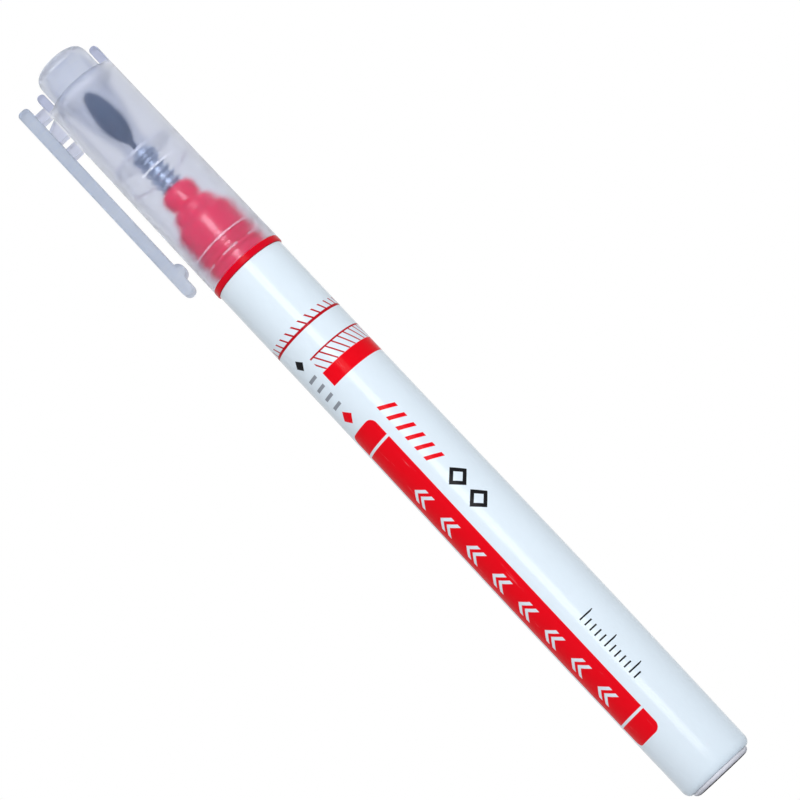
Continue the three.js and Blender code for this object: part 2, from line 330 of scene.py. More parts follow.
def fused(name: str, whole: Piece, additions: Iterable[Piece]) -> Piece:
    """Join solids into one closed mesh.

    Args:
        name: name of the piece.
        whole: the solid that the others are added to; it is used up.
        additions: the solids to add; they are used up.

    Returns:
        One object with the joined mesh.
    """
    for addition in additions:
        union = whole.modifiers.new("union", "BOOLEAN")
        union.operation = "UNION"
        union.solver = "EXACT"
        union.object = addition
        graph = bpy.context.evaluated_depsgraph_get()
        data = bpy.data.meshes.new_from_object(whole.evaluated_get(graph))
        whole.modifiers.clear()
        whole.data = data
        bpy.data.objects.remove(addition)
    whole.name = name
    whole.data.name = name
    whole.data.materials.clear()
    whole.data.shade_smooth()
    whole.data.set_sharp_from_angle(angle=SHARP_ANGLE)
    return whole


# Shader maths


class Signal:
    """A number in a shader graph, on which arithmetic adds the nodes that work it out."""

    def __init__(self, graph: "Graph", socket: Socket) -> None:
        """Wrap an output socket of a graph."""
        self.graph = graph
        self.socket = socket

    def math(self, operation: str, *others: "Signal | float", clamp: bool = False) -> "Signal":
        """Add a Math node with this signal as its first value.

        Args:
            operation: the node's operation.
            others: its other values.
            clamp: whether the result is kept from 0 to 1.

        Returns:
            The node's result.
        """
        settings = {"operation": operation, "use_clamp": clamp}
        values = dict(enumerate((self, *others)))
        return Signal(self.graph, self.graph.node("ShaderNodeMath", settings, values).outputs[0])

    def __add__(self, other: "Signal | float") -> "Signal":
        """Sum."""
        return self.math("ADD", other)

    __radd__ = __add__

    def __mul__(self, other: "Signal | float") -> "Signal":
        """Product."""
        return self.math("MULTIPLY", other)

    __rmul__ = __mul__

    def __sub__(self, other: "Signal | float") -> "Signal":
        """Difference."""
        return self.math("SUBTRACT", other)

    def __rsub__(self, other: float) -> "Signal":
        """Number less signal."""
        return self * -1 + other

    def __truediv__(self, other: "Signal | float") -> "Signal":
        """Quotient."""
        return self.math("DIVIDE", other)

    def __abs__(self) -> "Signal":
        """Size without sign."""
        return self.math("ABSOLUTE")

    def fract(self) -> "Signal":
        """Part after the decimal point."""
        return self.math("FRACT")

    def at_least(self, other: "Signal | float") -> "Signal":
        """The greater of two."""
        return self.math("MAXIMUM", other)

    def rises(self, edge: float, softness: float) -> "Signal":
        """A step from 0 to 1 at an edge, which rises over the softness."""
        return self.math("MULTIPLY_ADD", 1 / softness, 0.5 - edge / softness, clamp=True)

    def within(self, low: float, high: float, softness: float) -> "Signal":
        """A band that is 1 between two edges, each of which rises over the softness."""
        return self.rises(low, softness) * (1 - self.rises(high, softness))

    def swinging(self, middle: float, size: float) -> "Signal":
        """Bring a signal from 0 to 1 to a range of that size round a middle."""
        return self * size + (middle - size / 2)


@dataclass(frozen=True)
class Grain:
    """Fractal noise: features per millimetre, octaves, scale along each axis, weight of the finer octaves."""

    scale: float
    detail: float = 3.0
    stretch: Triple = (1, 1, 1)
    rough: float = 0.55


class Graph:
    """The node graph of a material or of the world."""

    def __init__(self, owner: Material | bpy.types.World) -> None:
        """Start an empty graph.

        Args:
            owner: the material or world that it belongs to.
        """
        owner.use_nodes = True
        self.owner = owner
        self.tree = owner.node_tree
        self.tree.nodes.clear()

    @classmethod
    def of_material(cls, name: str) -> "Graph":
        """The empty graph of a new material."""
        return cls(bpy.data.materials.new(name))

    def node(
        self,
        kind: str,
        settings: Mapping[str, Any] | None = None,
        values: Mapping[Any, Any] | None = None,
    ) -> bpy.types.Node:
        """Add a node.

        Args:
            kind: the node's type.
            settings: its properties, set first.
            values: socket name or index to a value, or to the signal, socket or node to link.

        Returns:
            The node.
        """
        made = self.tree.nodes.new(kind)
        for key, value in (settings or {}).items():
            setattr(made, key, value)
        for key, value in (values or {}).items():
            source = value.socket if isinstance(value, Signal) else value
            source = source.outputs[0] if isinstance(source, bpy.types.Node) else source
            if isinstance(source, Socket):
                self.tree.links.new(source, made.inputs[key])
            else:
                made.inputs[key].default_value = source
        return made

    def place(self) -> tuple[Signal, Signal, Signal]:
        """Take the place on the object.

        Returns:
            Its three coordinates, in millimetres.
        """
        source = self.node("ShaderNodeTexCoord").outputs["Object"]
        split = self.node("ShaderNodeSeparateXYZ", values={"Vector": source})
        return tuple(Signal(self, split.outputs[axis]) * (1 / MM) for axis in range(3))

    def from_axis(self) -> Signal:
        """Distance from the object's axis, in millimetres."""
        x, y, _ = self.place()
        return (x * x + y * y).math("SQRT")

    def noise(self, grain: Grain) -> Signal:
        """Fractal noise on the object.

        Args:
            grain: what the noise is like.

        Returns:
            Noise around 0.5.
        """
        source = self.node("ShaderNodeTexCoord").outputs["Object"]
        scale = [grain.scale / MM * s for s in grain.stretch]
        mapped = self.node("ShaderNodeMapping", values={"Vector": source, "Scale": scale})
        values = {"Vector": mapped, "Scale": 1.0, "Detail": grain.detail, "Roughness": grain.rough}
        made = self.node("ShaderNodeTexNoise", {"noise_dimensions": "3D"}, values)
        return Signal(self, made.outputs[0])

    def mixed(self, factor: Signal | float, first: Any, second: Any) -> Socket:
        """Mix two colours.

        Args:
            factor: share of the second colour.
            first: a colour or a colour socket.
            second: a colour or a colour socket.

        Returns:
            The mixed colour.
        """
        ends = [(*c, 1.0) if isinstance(c, tuple) else c for c in (first, second)]
        values = dict(zip(MIX_INPUTS, (factor, *ends)))
        return self.node("ShaderNodeMix", {"data_type": "RGBA"}, values).outputs[MIX_RESULT]

    def blended(self, factor: Signal, first: bpy.types.Node, second: bpy.types.Node) -> bpy.types.Node:
        """Mix two shaders by the share of the second."""
        return self.node("ShaderNodeMixShader", values=dict(enumerate((factor, first, second))))

    def bump(self, height: Signal, strength: float, distance: float) -> Socket:
        """A normal bumped by a height signal, by a share of a distance in millimetres."""
        values = {"Height": height, "Strength": strength, "Distance": distance * MM}
        return self.node("ShaderNodeBump", values=values).outputs[0]

    def surface(self, values: Mapping[str, Any]) -> Material:
        """Close the graph with a Principled shader.

        Args:
            values: the shader's sockets.

        Returns:
            The finished material.
        """
        shader = self.node("ShaderNodeBsdfPrincipled", values=values)
        self.node("ShaderNodeOutputMaterial", values={"Surface": shader})
        return self.owner


# Finishes


@dataclass(frozen=True)
class MouldedPlastic:
    """Opaque moulded plastic with faint flow marks; deeper and uncoated below a height, with painted shade
    lines at listed heights.
    """

    colour: Colour
    roughness: float = 0.3
    roughness_swing: float = 0.12
    mottling: float = 0.12
    gloss: float = 0.2
    coat: float = 0.0
    coat_ior: float = 1.5
    flow: Grain = Grain(0.16, 2, (1, 1, 0.35))
    flow_step: Point = (0.5, 0.6)
    grain: Grain = Grain(3.2)
    grain_height: float = 0.004
    grain_strength: float = 0.5
    deep: Colour | None = None
    deep_top: float = 0.0
    deep_edge: float = 0.05
    # heights of thin lines of painted shade, in the deeper colour
    lines: tuple[float, ...] = ()
    shade_line_half: float = 0.08
    shade_line_edge: float = 0.06
    shade_line_share: float = 0.55

    def build(self, name: str) -> Material:
        """Make the material.

        Args:
            name: its name.

        Returns:
            The material.
        """
        graph = Graph.of_material(name)
        fine = graph.noise(self.grain)
        shade = tuple(c * (1 - self.mottling) for c in self.colour)
        colour = graph.mixed(graph.noise(self.flow).rises(*self.flow_step), self.colour, shade)
        height = graph.place()[2]
        above = height.rises(self.deep_top, self.deep_edge)
        if self.deep is not None:
            colour = graph.mixed(above, self.deep, colour)
            # painted shade: thin darker lines at the listed heights stand in for the shade in grooves
            for line in self.lines:
                mask = height.within(line - self.shade_line_half, line + self.shade_line_half, self.shade_line_edge)
                colour = graph.mixed(mask * self.shade_line_share, colour, self.deep)
        return graph.surface({
            "Base Color": colour,
            "Roughness": fine.swinging(self.roughness, self.roughness_swing),
            "IOR": PLASTIC_IOR,
            "Specular IOR Level": self.gloss,
            "Coat Weight": above * self.coat,
            "Coat Roughness": self.roughness,
            "Coat IOR": self.coat_ior,
            "Normal": graph.bump(fine, self.grain_strength, self.grain_height),
        })


@dataclass(frozen=True)
class Slants:
    """A row of slanted lines round the barrel, in millimetres."""

    foot: float
    top: float
    count: int
    width: float
    lean: float

    def mask(self, turn: Signal, height: Signal, radius: float, edge: float) -> Signal:
        """Work out where the lines are.

        Args:
            turn: angle from the front, in degrees.
            height: height on the barrel.
            radius: the barrel's radius.
            edge: width over which the lines' edges rise.

        Returns:
            1 on the lines.
        """
        pitch = 2 * math.pi * radius / self.count
        lean = (height - self.foot) * (self.lean / pitch)
        phase = (turn * (self.count / 360) + lean + self.count).fract()
        line = 1 - (abs(phase - 0.5) * pitch).rises(self.width / 2, edge)
        return line * height.within(self.foot, self.top, edge)


@dataclass(frozen=True)
class Bars:
    """Bars that repeat up the barrel; each bar takes a share of the pitch, from one part of it to another."""

    foot: float
    pitch: float
    count: int
    shares: tuple[Point, ...]
    slope: float = 0.0
    edge: float = 0.03

    def mask(self, across: Signal, height: Signal) -> Signal:
        """Work out where the bars are.

        Args:
            across: distance along which the bars slope.
            height: height on the barrel.

        Returns:
            1 on the bars.
        """
        place = (height + across * self.slope - self.foot) / self.pitch
        phase = place.fract()
        bars = [phase.within(low, high, self.edge) for low, high in self.shares]
        whole = place.within(-self.edge, self.count - self.edge, self.edge)
        return reduce(Signal.at_least, bars) * whole


@dataclass(frozen=True)
class Diamond:
    """A diamond, hollow where its inner size isn't nought, in millimetres."""

    height: float
    outer: float
    inner: float = 0.0
    across: float = 0.0

    def mask(self, across: Signal, height: Signal, edge: float) -> Signal:
        """Work out where the diamond is.

        Args:
            across: distance from the line that it is placed by.
            height: height on the barrel.
            edge: width over which its edges rise.

        Returns:
            1 on the diamond.
        """
        reach = abs(across - self.across) + abs(height - self.height)
        solid = 1 - reach.rises(self.outer, edge)
        return solid * reach.rises(self.inner, edge) if self.inner else solid


@dataclass(frozen=True)
class PrintLayout:
    """Heights and places of the barrel's plain print, in millimetres and degrees from the front."""

    girth_radius: float = 6.0
    edge: float = 0.07
    ring_width: float = 0.42
    ticks: Slants = Slants(86.02, 87.4, 28, 0.32, 0.62)
    fine_top: float = 88.4
    panel_start: float = -26.0
    panel_end: float = 152.0
    band_bottom: float = 76.95
    hatch: Slants = Slants(79.5, 82.2, 32, 0.27, 0.58)
    stripe_middle: float = -46.7
    stripe_half: float = 3.06
    stripe_bottom: float = 10.5
    stripe_top: float = 70.2
    stripe_rounding: float = 1.2
    gap_heights: tuple[float, ...] = (14.35, 66.6)
    gap_width: float = 0.42
    chevrons: Bars = Bars(18.2, 5.4, 8, ((0.1, 0.22), (0.34, 0.46)), slope=0.8, edge=0.02)
    chevron_half: float = 1.45
    dashes: Bars = Bars(59.6, 1.95, 6, ((0.2, 0.56),), slope=0.5)
    dash_start: float = -0.3
    dash_end: float = 2.15
    rungs: Bars = Bars(74.4, 1.7, 4, ((0.1, 0.42),))
    rung_half: float = 1.0
    red_diamond: Diamond = Diamond(72.6, 1.15)
    black_diamond: Diamond = Diamond(82.7, 0.95)
    hollow_diamonds: tuple[Diamond, ...] = (
        Diamond(55.5, 1.75, inner=0.95, across=1.45),
        Diamond(51.2, 1.75, inner=0.95, across=1.45),
    )
    scale: Bars = Bars(17.9, 1.0, 12, ((0.0, 0.26),), edge=0.06)
    scale_start: float = 0.1
    short_line: float = 1.3
    longer_by: float = 1.1
    long_every: float = 5.0
    long_shift: float = 0.02
    long_step: Point = (0.8, 0.05)


@dataclass(frozen=True)
class PrintedPlastic:
    """White moulded plastic with a plain red, grey and black print."""

    ground: Colour
    red: Colour
    black: Colour
    grey: Colour
    fine_red: Colour
    roughness: float = 0.12
    gloss: float = 0.04
    coat: float = 0.4
    shading: float = 0.025
    flow: Grain = Grain(0.09, 2, (1, 1, 0.3))
    flow_step: Point = (0.5, 0.5)
    grain: Grain = Grain(2.6, 4)
    grain_share: float = 0.25
    scuffs: Grain = Grain(0.9, 5, (1, 1, 0.12), 0.7)
    scuff_step: Point = (0.68, 0.12)
    scuff_share: float = 0.12
    ink_share: float = 0.6
    grain_rough: float = 0.1
    scuff_rough: float = 0.08
    ink_rough: float = -0.05
    relief: Point = (0.35, 0.01)
    layout: PrintLayout = PrintLayout()

    def _girdle(self, turn: Signal, height: Signal) -> Signal:
        """Work out the thin ring with its ticks, and the solid band with the hatched box above it.

        Args:
            turn: angle from the front, in degrees.
            height: height on the barrel.

        Returns:
            1 where it is printed.
        """
        lay = self.layout
        half = lay.ring_width / 2
        ring = height.within(lay.ticks.foot - half, lay.ticks.foot + half, lay.edge)
        ring = ring.at_least(lay.ticks.mask(turn, height, lay.girth_radius, lay.edge))
        soft = math.degrees(lay.edge / lay.girth_radius)
        sides = turn.within(lay.panel_start, lay.panel_end, soft)
        band = height.within(lay.band_bottom, lay.hatch.foot, lay.edge)
        frame_line = height.within(lay.hatch.top - lay.hatch.width, lay.hatch.top, lay.edge)
        hatch = lay.hatch.mask(turn, height, lay.girth_radius, lay.edge)
        return ring.at_least(band.at_least(frame_line).at_least(hatch) * sides)

    def _stripe(self, across: Signal, height: Signal) -> Signal:
        """Work out the long rounded stripe with its gaps and the arrows left bare in it.

        Args:
            across: distance from the stripe's middle line.
            height: height on the barrel.

        Returns:
            1 where it is printed.
        """
        lay = self.layout
        middle = (lay.stripe_bottom + lay.stripe_top) / 2
        half = (lay.stripe_top - lay.stripe_bottom) / 2
        dx = (abs(across) - (lay.stripe_half - lay.stripe_rounding)).at_least(0.0)
        dz = (abs(height - middle) - (half - lay.stripe_rounding)).at_least(0.0)
        mask = 1 - (dx * dx + dz * dz).math("SQRT").rises(lay.stripe_rounding, lay.edge)
        for gap in lay.gap_heights:
            mask = mask * (1 - height.within(gap - lay.gap_width / 2, gap + lay.gap_width / 2, lay.edge))
        strokes = lay.chevrons.mask(abs(across), height)
        return mask * (1 - strokes * (1 - abs(across).rises(lay.chevron_half, lay.edge)))

    def _scale(self, girth: Signal, height: Signal) -> Signal:
        """Work out the scale of lines, some of them longer.

        Args:
            girth: distance from the front, round the barrel.
            height: height on the barrel.

        Returns:
            1 where it is printed.
        """
        lay = self.layout
        longer = (height / lay.long_every + lay.long_shift).fract().rises(*lay.long_step) * lay.longer_by
        reach = 1 - (girth - lay.scale_start - longer).rises(lay.short_line, lay.edge)
        return lay.scale.mask(girth, height) * reach * girth.rises(lay.scale_start, lay.edge)

    def build(self, name: str) -> Material:
        """Make the material.

        Args:
            name: its name.

        Returns:
            The material.
        """
        graph = Graph.of_material(name)
        lay = self.layout
        x, y, height = graph.place()
        turn = x.math("ARCTAN2", y * -1) * (180 / math.pi)
        girth = turn * (math.pi * lay.girth_radius / 180)
        beside = girth - lay.stripe_middle * math.pi * lay.girth_radius / 180

        dashes = lay.dashes.mask(girth, height) * girth.within(lay.dash_start, lay.dash_end, lay.edge)
        red = self._girdle(turn, height).at_least(self._stripe(beside, height)).at_least(dashes)
        red = red.at_least(lay.red_diamond.mask(beside, height, lay.edge))
        grey = lay.rungs.mask(beside, height) * (1 - abs(beside).rises(lay.rung_half, lay.edge))
        black = self._scale(girth, height).at_least(lay.black_diamond.mask(beside, height, lay.edge))
        for diamond in lay.hollow_diamonds:
            black = black.at_least(diamond.mask(girth, height, lay.edge))

        fine = graph.noise(self.grain)
        scuff = graph.noise(self.scuffs)
        shade = tuple(c * (1 - self.shading) for c in self.ground)
        colour = graph.mixed(graph.noise(self.flow).rises(*self.flow_step), self.ground, shade)
        wear = 1 - scuff.rises(*self.scuff_step) * self.scuff_share
        fine_print = height.within(lay.hatch.foot + lay.edge, lay.fine_top, lay.edge)
        red_ink = graph.mixed(fine_print, self.red, self.fine_red)
        for mask, ink in ((red, red_ink), (grey, self.grey), (black, self.black)):
            colour = graph.mixed(mask * wear, colour, ink)
        inked = red.at_least(grey).at_least(black)
        return graph.surface({
            "Base Color": colour,
            "Roughness": fine * self.grain_rough + scuff * self.scuff_rough + inked * self.ink_rough
            + self.roughness,
            "IOR": PLASTIC_IOR,
            "Specular IOR Level": self.gloss,
            "Coat Weight": (1 - inked) * self.coat,
            "Coat Roughness": self.roughness,
            "Normal": graph.bump(inked * self.ink_share + fine * self.grain_share, *self.relief),
        })


@dataclass(frozen=True)
class Zone:
    """A ring-shaped zone of a translucent piece, and the share that it scatters, in millimetres; a pale zone
    is a painted highlight.
    """

    bottom: float
    top: float
    inner: float
    outer: float
    share: float
    # whether the zone is a painted highlight: whitish and metallic
    pale: bool = True


@dataclass(frozen=True)
class FrostedPlastic:
    """Translucent moulded plastic: it tints by its thickness, and its surfaces scatter a milky share, painted
    as highlights in pale zones.
    """

    passed: Colour
    density: float
    milk: Colour
    haze: float
    roughness: float
    roughness_swing: float = 0.08
    tint: Colour = WHITE
    alpha: float = 0.7
    ior: float = 1.12
    grain: Grain = Grain(2.2, 4)
    grain_height: float = 0.01
    grain_strength: float = 0.3
    flow: Grain = Grain(0.25, 3, (1, 1, 0.3))
    marks: Grain = Grain(0.8, 4, (0.5, 0.5, 4), 0.65)
    # colour of the painted highlights in the pale zones
    pale: Colour = (0.93, 0.94, 0.98)
    milk_roughness: float = 0.8
    milk_gloss: float = 0.1
    milk_passing: float = 0.5
    zones: tuple[Zone, ...] = ()
    untinted: Zone | None = None
    clear_top: float = 0.0
    clear_share: float = 0.25
    zone_edge: float = 0.1

    def _mask(self, graph: Graph, zone: Zone) -> Signal:
        """A signal that is 1 inside a zone."""
        mask = graph.place()[2].within(zone.bottom, zone.top, self.zone_edge)
        return mask * graph.from_axis().within(zone.inner, zone.outer, self.zone_edge)

    def _scatter(self, graph: Graph) -> tuple[Signal, Signal | float]:
        """Work out where the plastic scatters light.

        Args:
            graph: the material's graph.

        Returns:
            The share that is scattered, and where it is a pale painted highlight.
        """
        share = (graph.noise(self.flow) + graph.noise(self.marks)) * self.haze
        if self.clear_top:
            above = graph.place()[2].rises(self.clear_top, self.zone_edge)
            share = share * above.at_least(self.clear_share)
        pale: Signal | float = 0.0
        for zone in self.zones:
            mask = self._mask(graph, zone)
            share = share.at_least(mask * zone.share)
            # pale zones are painted highlights
            if zone.pale:
                pale = mask.at_least(pale)
        return share, pale

    def build(self, name: str) -> Material:
        """Make the material.

        Args:
            name: its name.

        Returns:
            The material.
        """
        graph = Graph.of_material(name)
        fine = graph.noise(self.grain)
        normal = graph.bump(fine, self.grain_strength, self.grain_height)
        share, pale = self._scatter(graph)
        tint: Any = (*self.tint, 1)
        if self.untinted is not None:
            tint = graph.mixed(self._mask(graph, self.untinted), self.tint, WHITE)
        clear = graph.node("ShaderNodeBsdfPrincipled", values={
            "Base Color": tint,
            "Roughness": fine.swinging(self.roughness, self.roughness_swing),
            "IOR": self.ior,
            "Transmission Weight": 1.0,
            "Alpha": self.alpha,
            "Normal": normal,
        })
        milky = graph.node("ShaderNodeBsdfPrincipled", values={
            # painted highlight: the pale zones are whitish and metallic, so they reflect the bright
            # surroundings
            "Base Color": graph.mixed(pale, self.milk, self.pale),
            "Metallic": pale,
            "Roughness": self.milk_roughness,
            "IOR": self.ior,
            "Specular IOR Level": self.milk_gloss,
            "Transmission Weight": self.milk_passing,
            "Normal": normal,
        })
        both = graph.blended(share, clear, milky)
        passed = {"Color": (*self.passed, 1), "Density": self.density / MM}
        body = graph.node("ShaderNodeVolumeAbsorption", values=passed)
        graph.node("ShaderNodeOutputMaterial", values={"Surface": both, "Volume": body})
        return graph.owner


@dataclass(frozen=True)
class DrawnSteel:
    """Steel with fine drawing lines along the axis."""

    colour: Colour
    roughness: float = 0.26
    roughness_swing: float = 0.18
    dulling: float = 0.2
    lines: Grain = Grain(9.0, 3, (1, 1, 0.05))
    stains: Grain = Grain(0.5)
    stain_step: Point = (0.55, 0.4)
    relief: Point = (0.25, 0.006)

    def build(self, name: str) -> Material:
        """Make the material.

        Args:
            name: its name.

        Returns:
            The material.
        """
        graph = Graph.of_material(name)
        lines = graph.noise(self.lines)
        dull = tuple(c * (1 - self.dulling) for c in self.colour)
        return graph.surface({
            "Base Color": graph.mixed(graph.noise(self.stains).rises(*self.stain_step), self.colour, dull),
            "Metallic": 1.0,
            "Roughness": lines.swinging(self.roughness, self.roughness_swing),
            "Normal": graph.bump(lines, *self.relief),
        })


@dataclass(frozen=True)
class InkedFibre:
    """Pressed or bundled fibre soaked with ink."""

    colour: Colour
    pale: Colour
    strands: Grain = Grain(6.0, 4, (1, 1, 0.08), 0.65)
    pores: Grain = Grain(9.6, 2)
    blotches: Grain = Grain(0.5)
    pale_step: Point = (0.52, 0.35)
    roughness: float = 0.65
    roughness_swing: float = 0.3
    sheen: float = 0.2
    strand_share: float = 0.7
    relief_highlight_share: float = 0.6
    relief: Point = (0.6, 0.03)

    def build(self, name: str) -> Material:
        """Make the material.

        Args:
            name: its name.

        Returns:
            The material.
        """
        graph = Graph.of_material(name)
        strand, pores = graph.noise(self.strands), graph.noise(self.pores)
        blotch = graph.noise(self.blotches)
        mask = (strand * self.strand_share + blotch * (1 - self.strand_share)).rises(*self.pale_step)
        relief = strand * self.relief_highlight_share + pores * (1 - self.relief_highlight_share)
        return graph.surface({
            "Base Color": graph.mixed(mask, self.colour, self.pale),
            "Roughness": pores.swinging(self.roughness, self.roughness_swing),
            "Sheen Weight": self.sheen,
            "Normal": graph.bump(relief, *self.relief),
        })


BARREL_PRINT = PrintedPlastic(
    ground=(0.78, 0.89, 0.99),
    red=(0.86, 0.003, 0.012),
    black=(0.012, 0.012, 0.014),
    grey=(0.28, 0.31, 0.36),
    fine_red=(0.5, 0.003, 0.012),
)
PLUG_PLASTIC = MouldedPlastic((0.9, 0.91, 0.99), roughness=0.35)
RED_PLASTIC = MouldedPlastic((0.99, 0.004, 0.085), roughness=0.2, gloss=0.05, coat=1.0, coat_ior=1.65)
CAP_PLASTIC = FrostedPlastic(
    (0.78, 0.81, 0.86), 0.12, milk=(0.38, 0.42, 0.62), haze=0.07, roughness=0.34, tint=(0.8, 0.82, 0.88)
)
CLIP_PLASTIC = FrostedPlastic((0.78, 0.81, 0.86), 0.15, milk=(0.43, 0.5, 0.64), haze=0.6, roughness=0.3)
CROWN_PLASTIC = FrostedPlastic((0.78, 0.81, 0.86), 0.08, milk=(0.42, 0.49, 0.68), haze=0.3, roughness=0.3)
SEAL_PLASTIC = FrostedPlastic(
    (0.8, 0.83, 0.88), 0.1, milk=(0.5, 0.56, 0.72), haze=0.04, roughness=0.12, alpha=0.3, ior=1.08
)
FILM_PLASTIC = FrostedPlastic((0.8, 0.84, 0.9), 0.5, milk=(0.7, 0.75, 0.85), haze=0.03, roughness=0.1)
STEEL = DrawnSteel((0.6, 0.69, 0.84), roughness=0.5)
NIB_FIBRE = InkedFibre((0.006, 0.03, 0.075), (0.02, 0.085, 0.17))
WICK_FIBRE = InkedFibre(
    (0.5, 0.01, 0.03), (0.75, 0.08, 0.1),
    strands=Grain(4.0, 4, (1, 1, 0.08), 0.65), pores=Grain(6.4, 2),
)


def dressed(piece: Piece, finish: Any, slot: Slot, body: Body | None, *nodes: str) -> None:
    """Give a piece its finish and its place in the frame, and report it.

    Args:
        piece: the piece.
        finish: the finish that makes its material.
        slot: the record's slot.
        body: the body it rides on, or None to leave it unattached.
        nodes: the nodes it stands for.
    """
    piece.data.materials.append(finish.build(f"{piece.name}_{slot.value}"))
    if body is not None:
        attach(piece, body.value)
    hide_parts(*nodes)
    LOG.info("%s: %d faces, for %s", piece.name, len(piece.data.polygons), ", ".join(nodes))


# Sub-assemblies


@dataclass
class MarkerBody:
    """The barrel with its tail plug, ink rod and wrapping film."""

    end_radius: float = 5.9
    wall: float = 0.98
    belly: float = 0.19
    belly_centre: float = 32.0
    belly_reach: float = 45.0
    belly_steps: int = 40
    corner: Point = (0.9, 1.3)
    corner_steps: int = 8
    lip_height: float = 1.0
    lip_depth: float = 2.0
    lip_outer_edge: float = 0.08
    lip_inner_edge: float = 0.15
    plug_bevel: float = 1.0
    plug_rim: float = 0.7
    plug_wall: float = 0.9
    plug_floor: float = 1.4
    plug_gap: float = 0.05
    plug_taper: Point = (0.2, 0.3)
    rod_edge: float = 0.3
    feed_edge: float = 0.1
    feed_depth: float = 10.8
    feed_radius: float = 0.5
    film_thickness: float = 0.25

    def outer(self, height: float) -> float:
        """Work out the bellied barrel's size.

        Args:
            height: height on the barrel.

        Returns:
            The outer radius there.
        """
        offset = (height - self.belly_centre) / self.belly_reach
        rise = math.cos(offset * math.pi / 2) ** 2 if abs(offset) < 1 else 0.0
        return self.end_radius + self.belly * rise

    def build_barrel(self) -> None:
        """Make the printed barrel."""
        span = Span.of("barrel")
        corner_top = span.bottom + self.corner[1]
        centre = (self.outer(corner_top) - self.corner[0], corner_top)
        corner = arc_points(centre, self.corner, -90, 0, self.corner_steps)
        heights = [z for _, z in straight_points((0, corner_top), (0, span.top), self.belly_steps)]
        side = [(self.outer(z), z) for z in heights]
        bore = self.end_radius - self.wall
        lip = softened([
            Corner(self.outer(span.top - self.lip_height), span.top - self.lip_height),
            Corner(self.end_radius, span.top, self.lip_outer_edge),
            Corner(bore, span.top, self.lip_inner_edge),
            Corner(bore, span.top - self.lip_depth),
        ], closed=False)
        barrel = turned("printed_barrel", [*corner, *side, *lip[1:-1], (bore, span.bottom)])
        dressed(barrel, BARREL_PRINT, Slot.WHITE, Body.MARKER, "barrel")

    def build_tail_plug(self) -> None:
        """Make the plug with its bevelled rim."""
        span = Span.of("tail_plug")
        spigot = self.end_radius - self.wall - self.plug_gap
        hollow = spigot - self.plug_wall
        centre = (span.radius - self.plug_bevel, self.plug_rim)
        bevel = arc_points(centre, (self.plug_bevel, self.plug_rim), -90, 0, self.corner_steps)
        taper_across, taper_along = self.plug_taper
        outline = [
            (0, 0), *bevel, (spigot, self.plug_rim), (spigot, span.top - taper_along),
            (spigot - taper_across, span.top), (hollow, span.top), (hollow, self.plug_floor),
            (0, self.plug_floor),
        ]
        dressed(turned("tail_end_plug", outline), PLUG_PLASTIC, Slot.PLUG, Body.MARKER, "tail_plug")

    def build_ink_rod(self) -> None:
        """Make the fibre rod with the hole for the nib's shank."""
        span = Span.of("ink_reservoir")
        bottom = span.top - self.feed_depth
        outline = softened([
            Corner(0, span.bottom),
            Corner(span.radius, span.bottom, self.rod_edge),
            Corner(span.radius, span.top, self.rod_edge),
            Corner(self.feed_radius, span.top, self.feed_edge),
            Corner(self.feed_radius, bottom),
            Corner(0, bottom),
        ], closed=False)
        rod = turned("ink_rod", outline, COARSE_STEPS)
        dressed(rod, WICK_FIBRE, Slot.WICK, Body.MARKER, "ink_reservoir")

    def build_film(self) -> None:
        """Make the film that wraps the ink rod."""
        span = Span.of("reservoir_film")
        inner, outer = span.radius - self.film_thickness, span.radius
        outline = [(inner, span.bottom), (outer, span.bottom), (outer, span.top), (inner, span.top)]
        film = turned("rod_film", outline, COARSE_STEPS)
        dressed(film, FILM_PLASTIC, Slot.FILM, Body.MARKER, "reservoir_film")

    def build(self) -> None:
        """Make every piece of the body."""
        self.build_barrel()
        self.build_tail_plug()
        self.build_ink_rod()
        self.build_film()


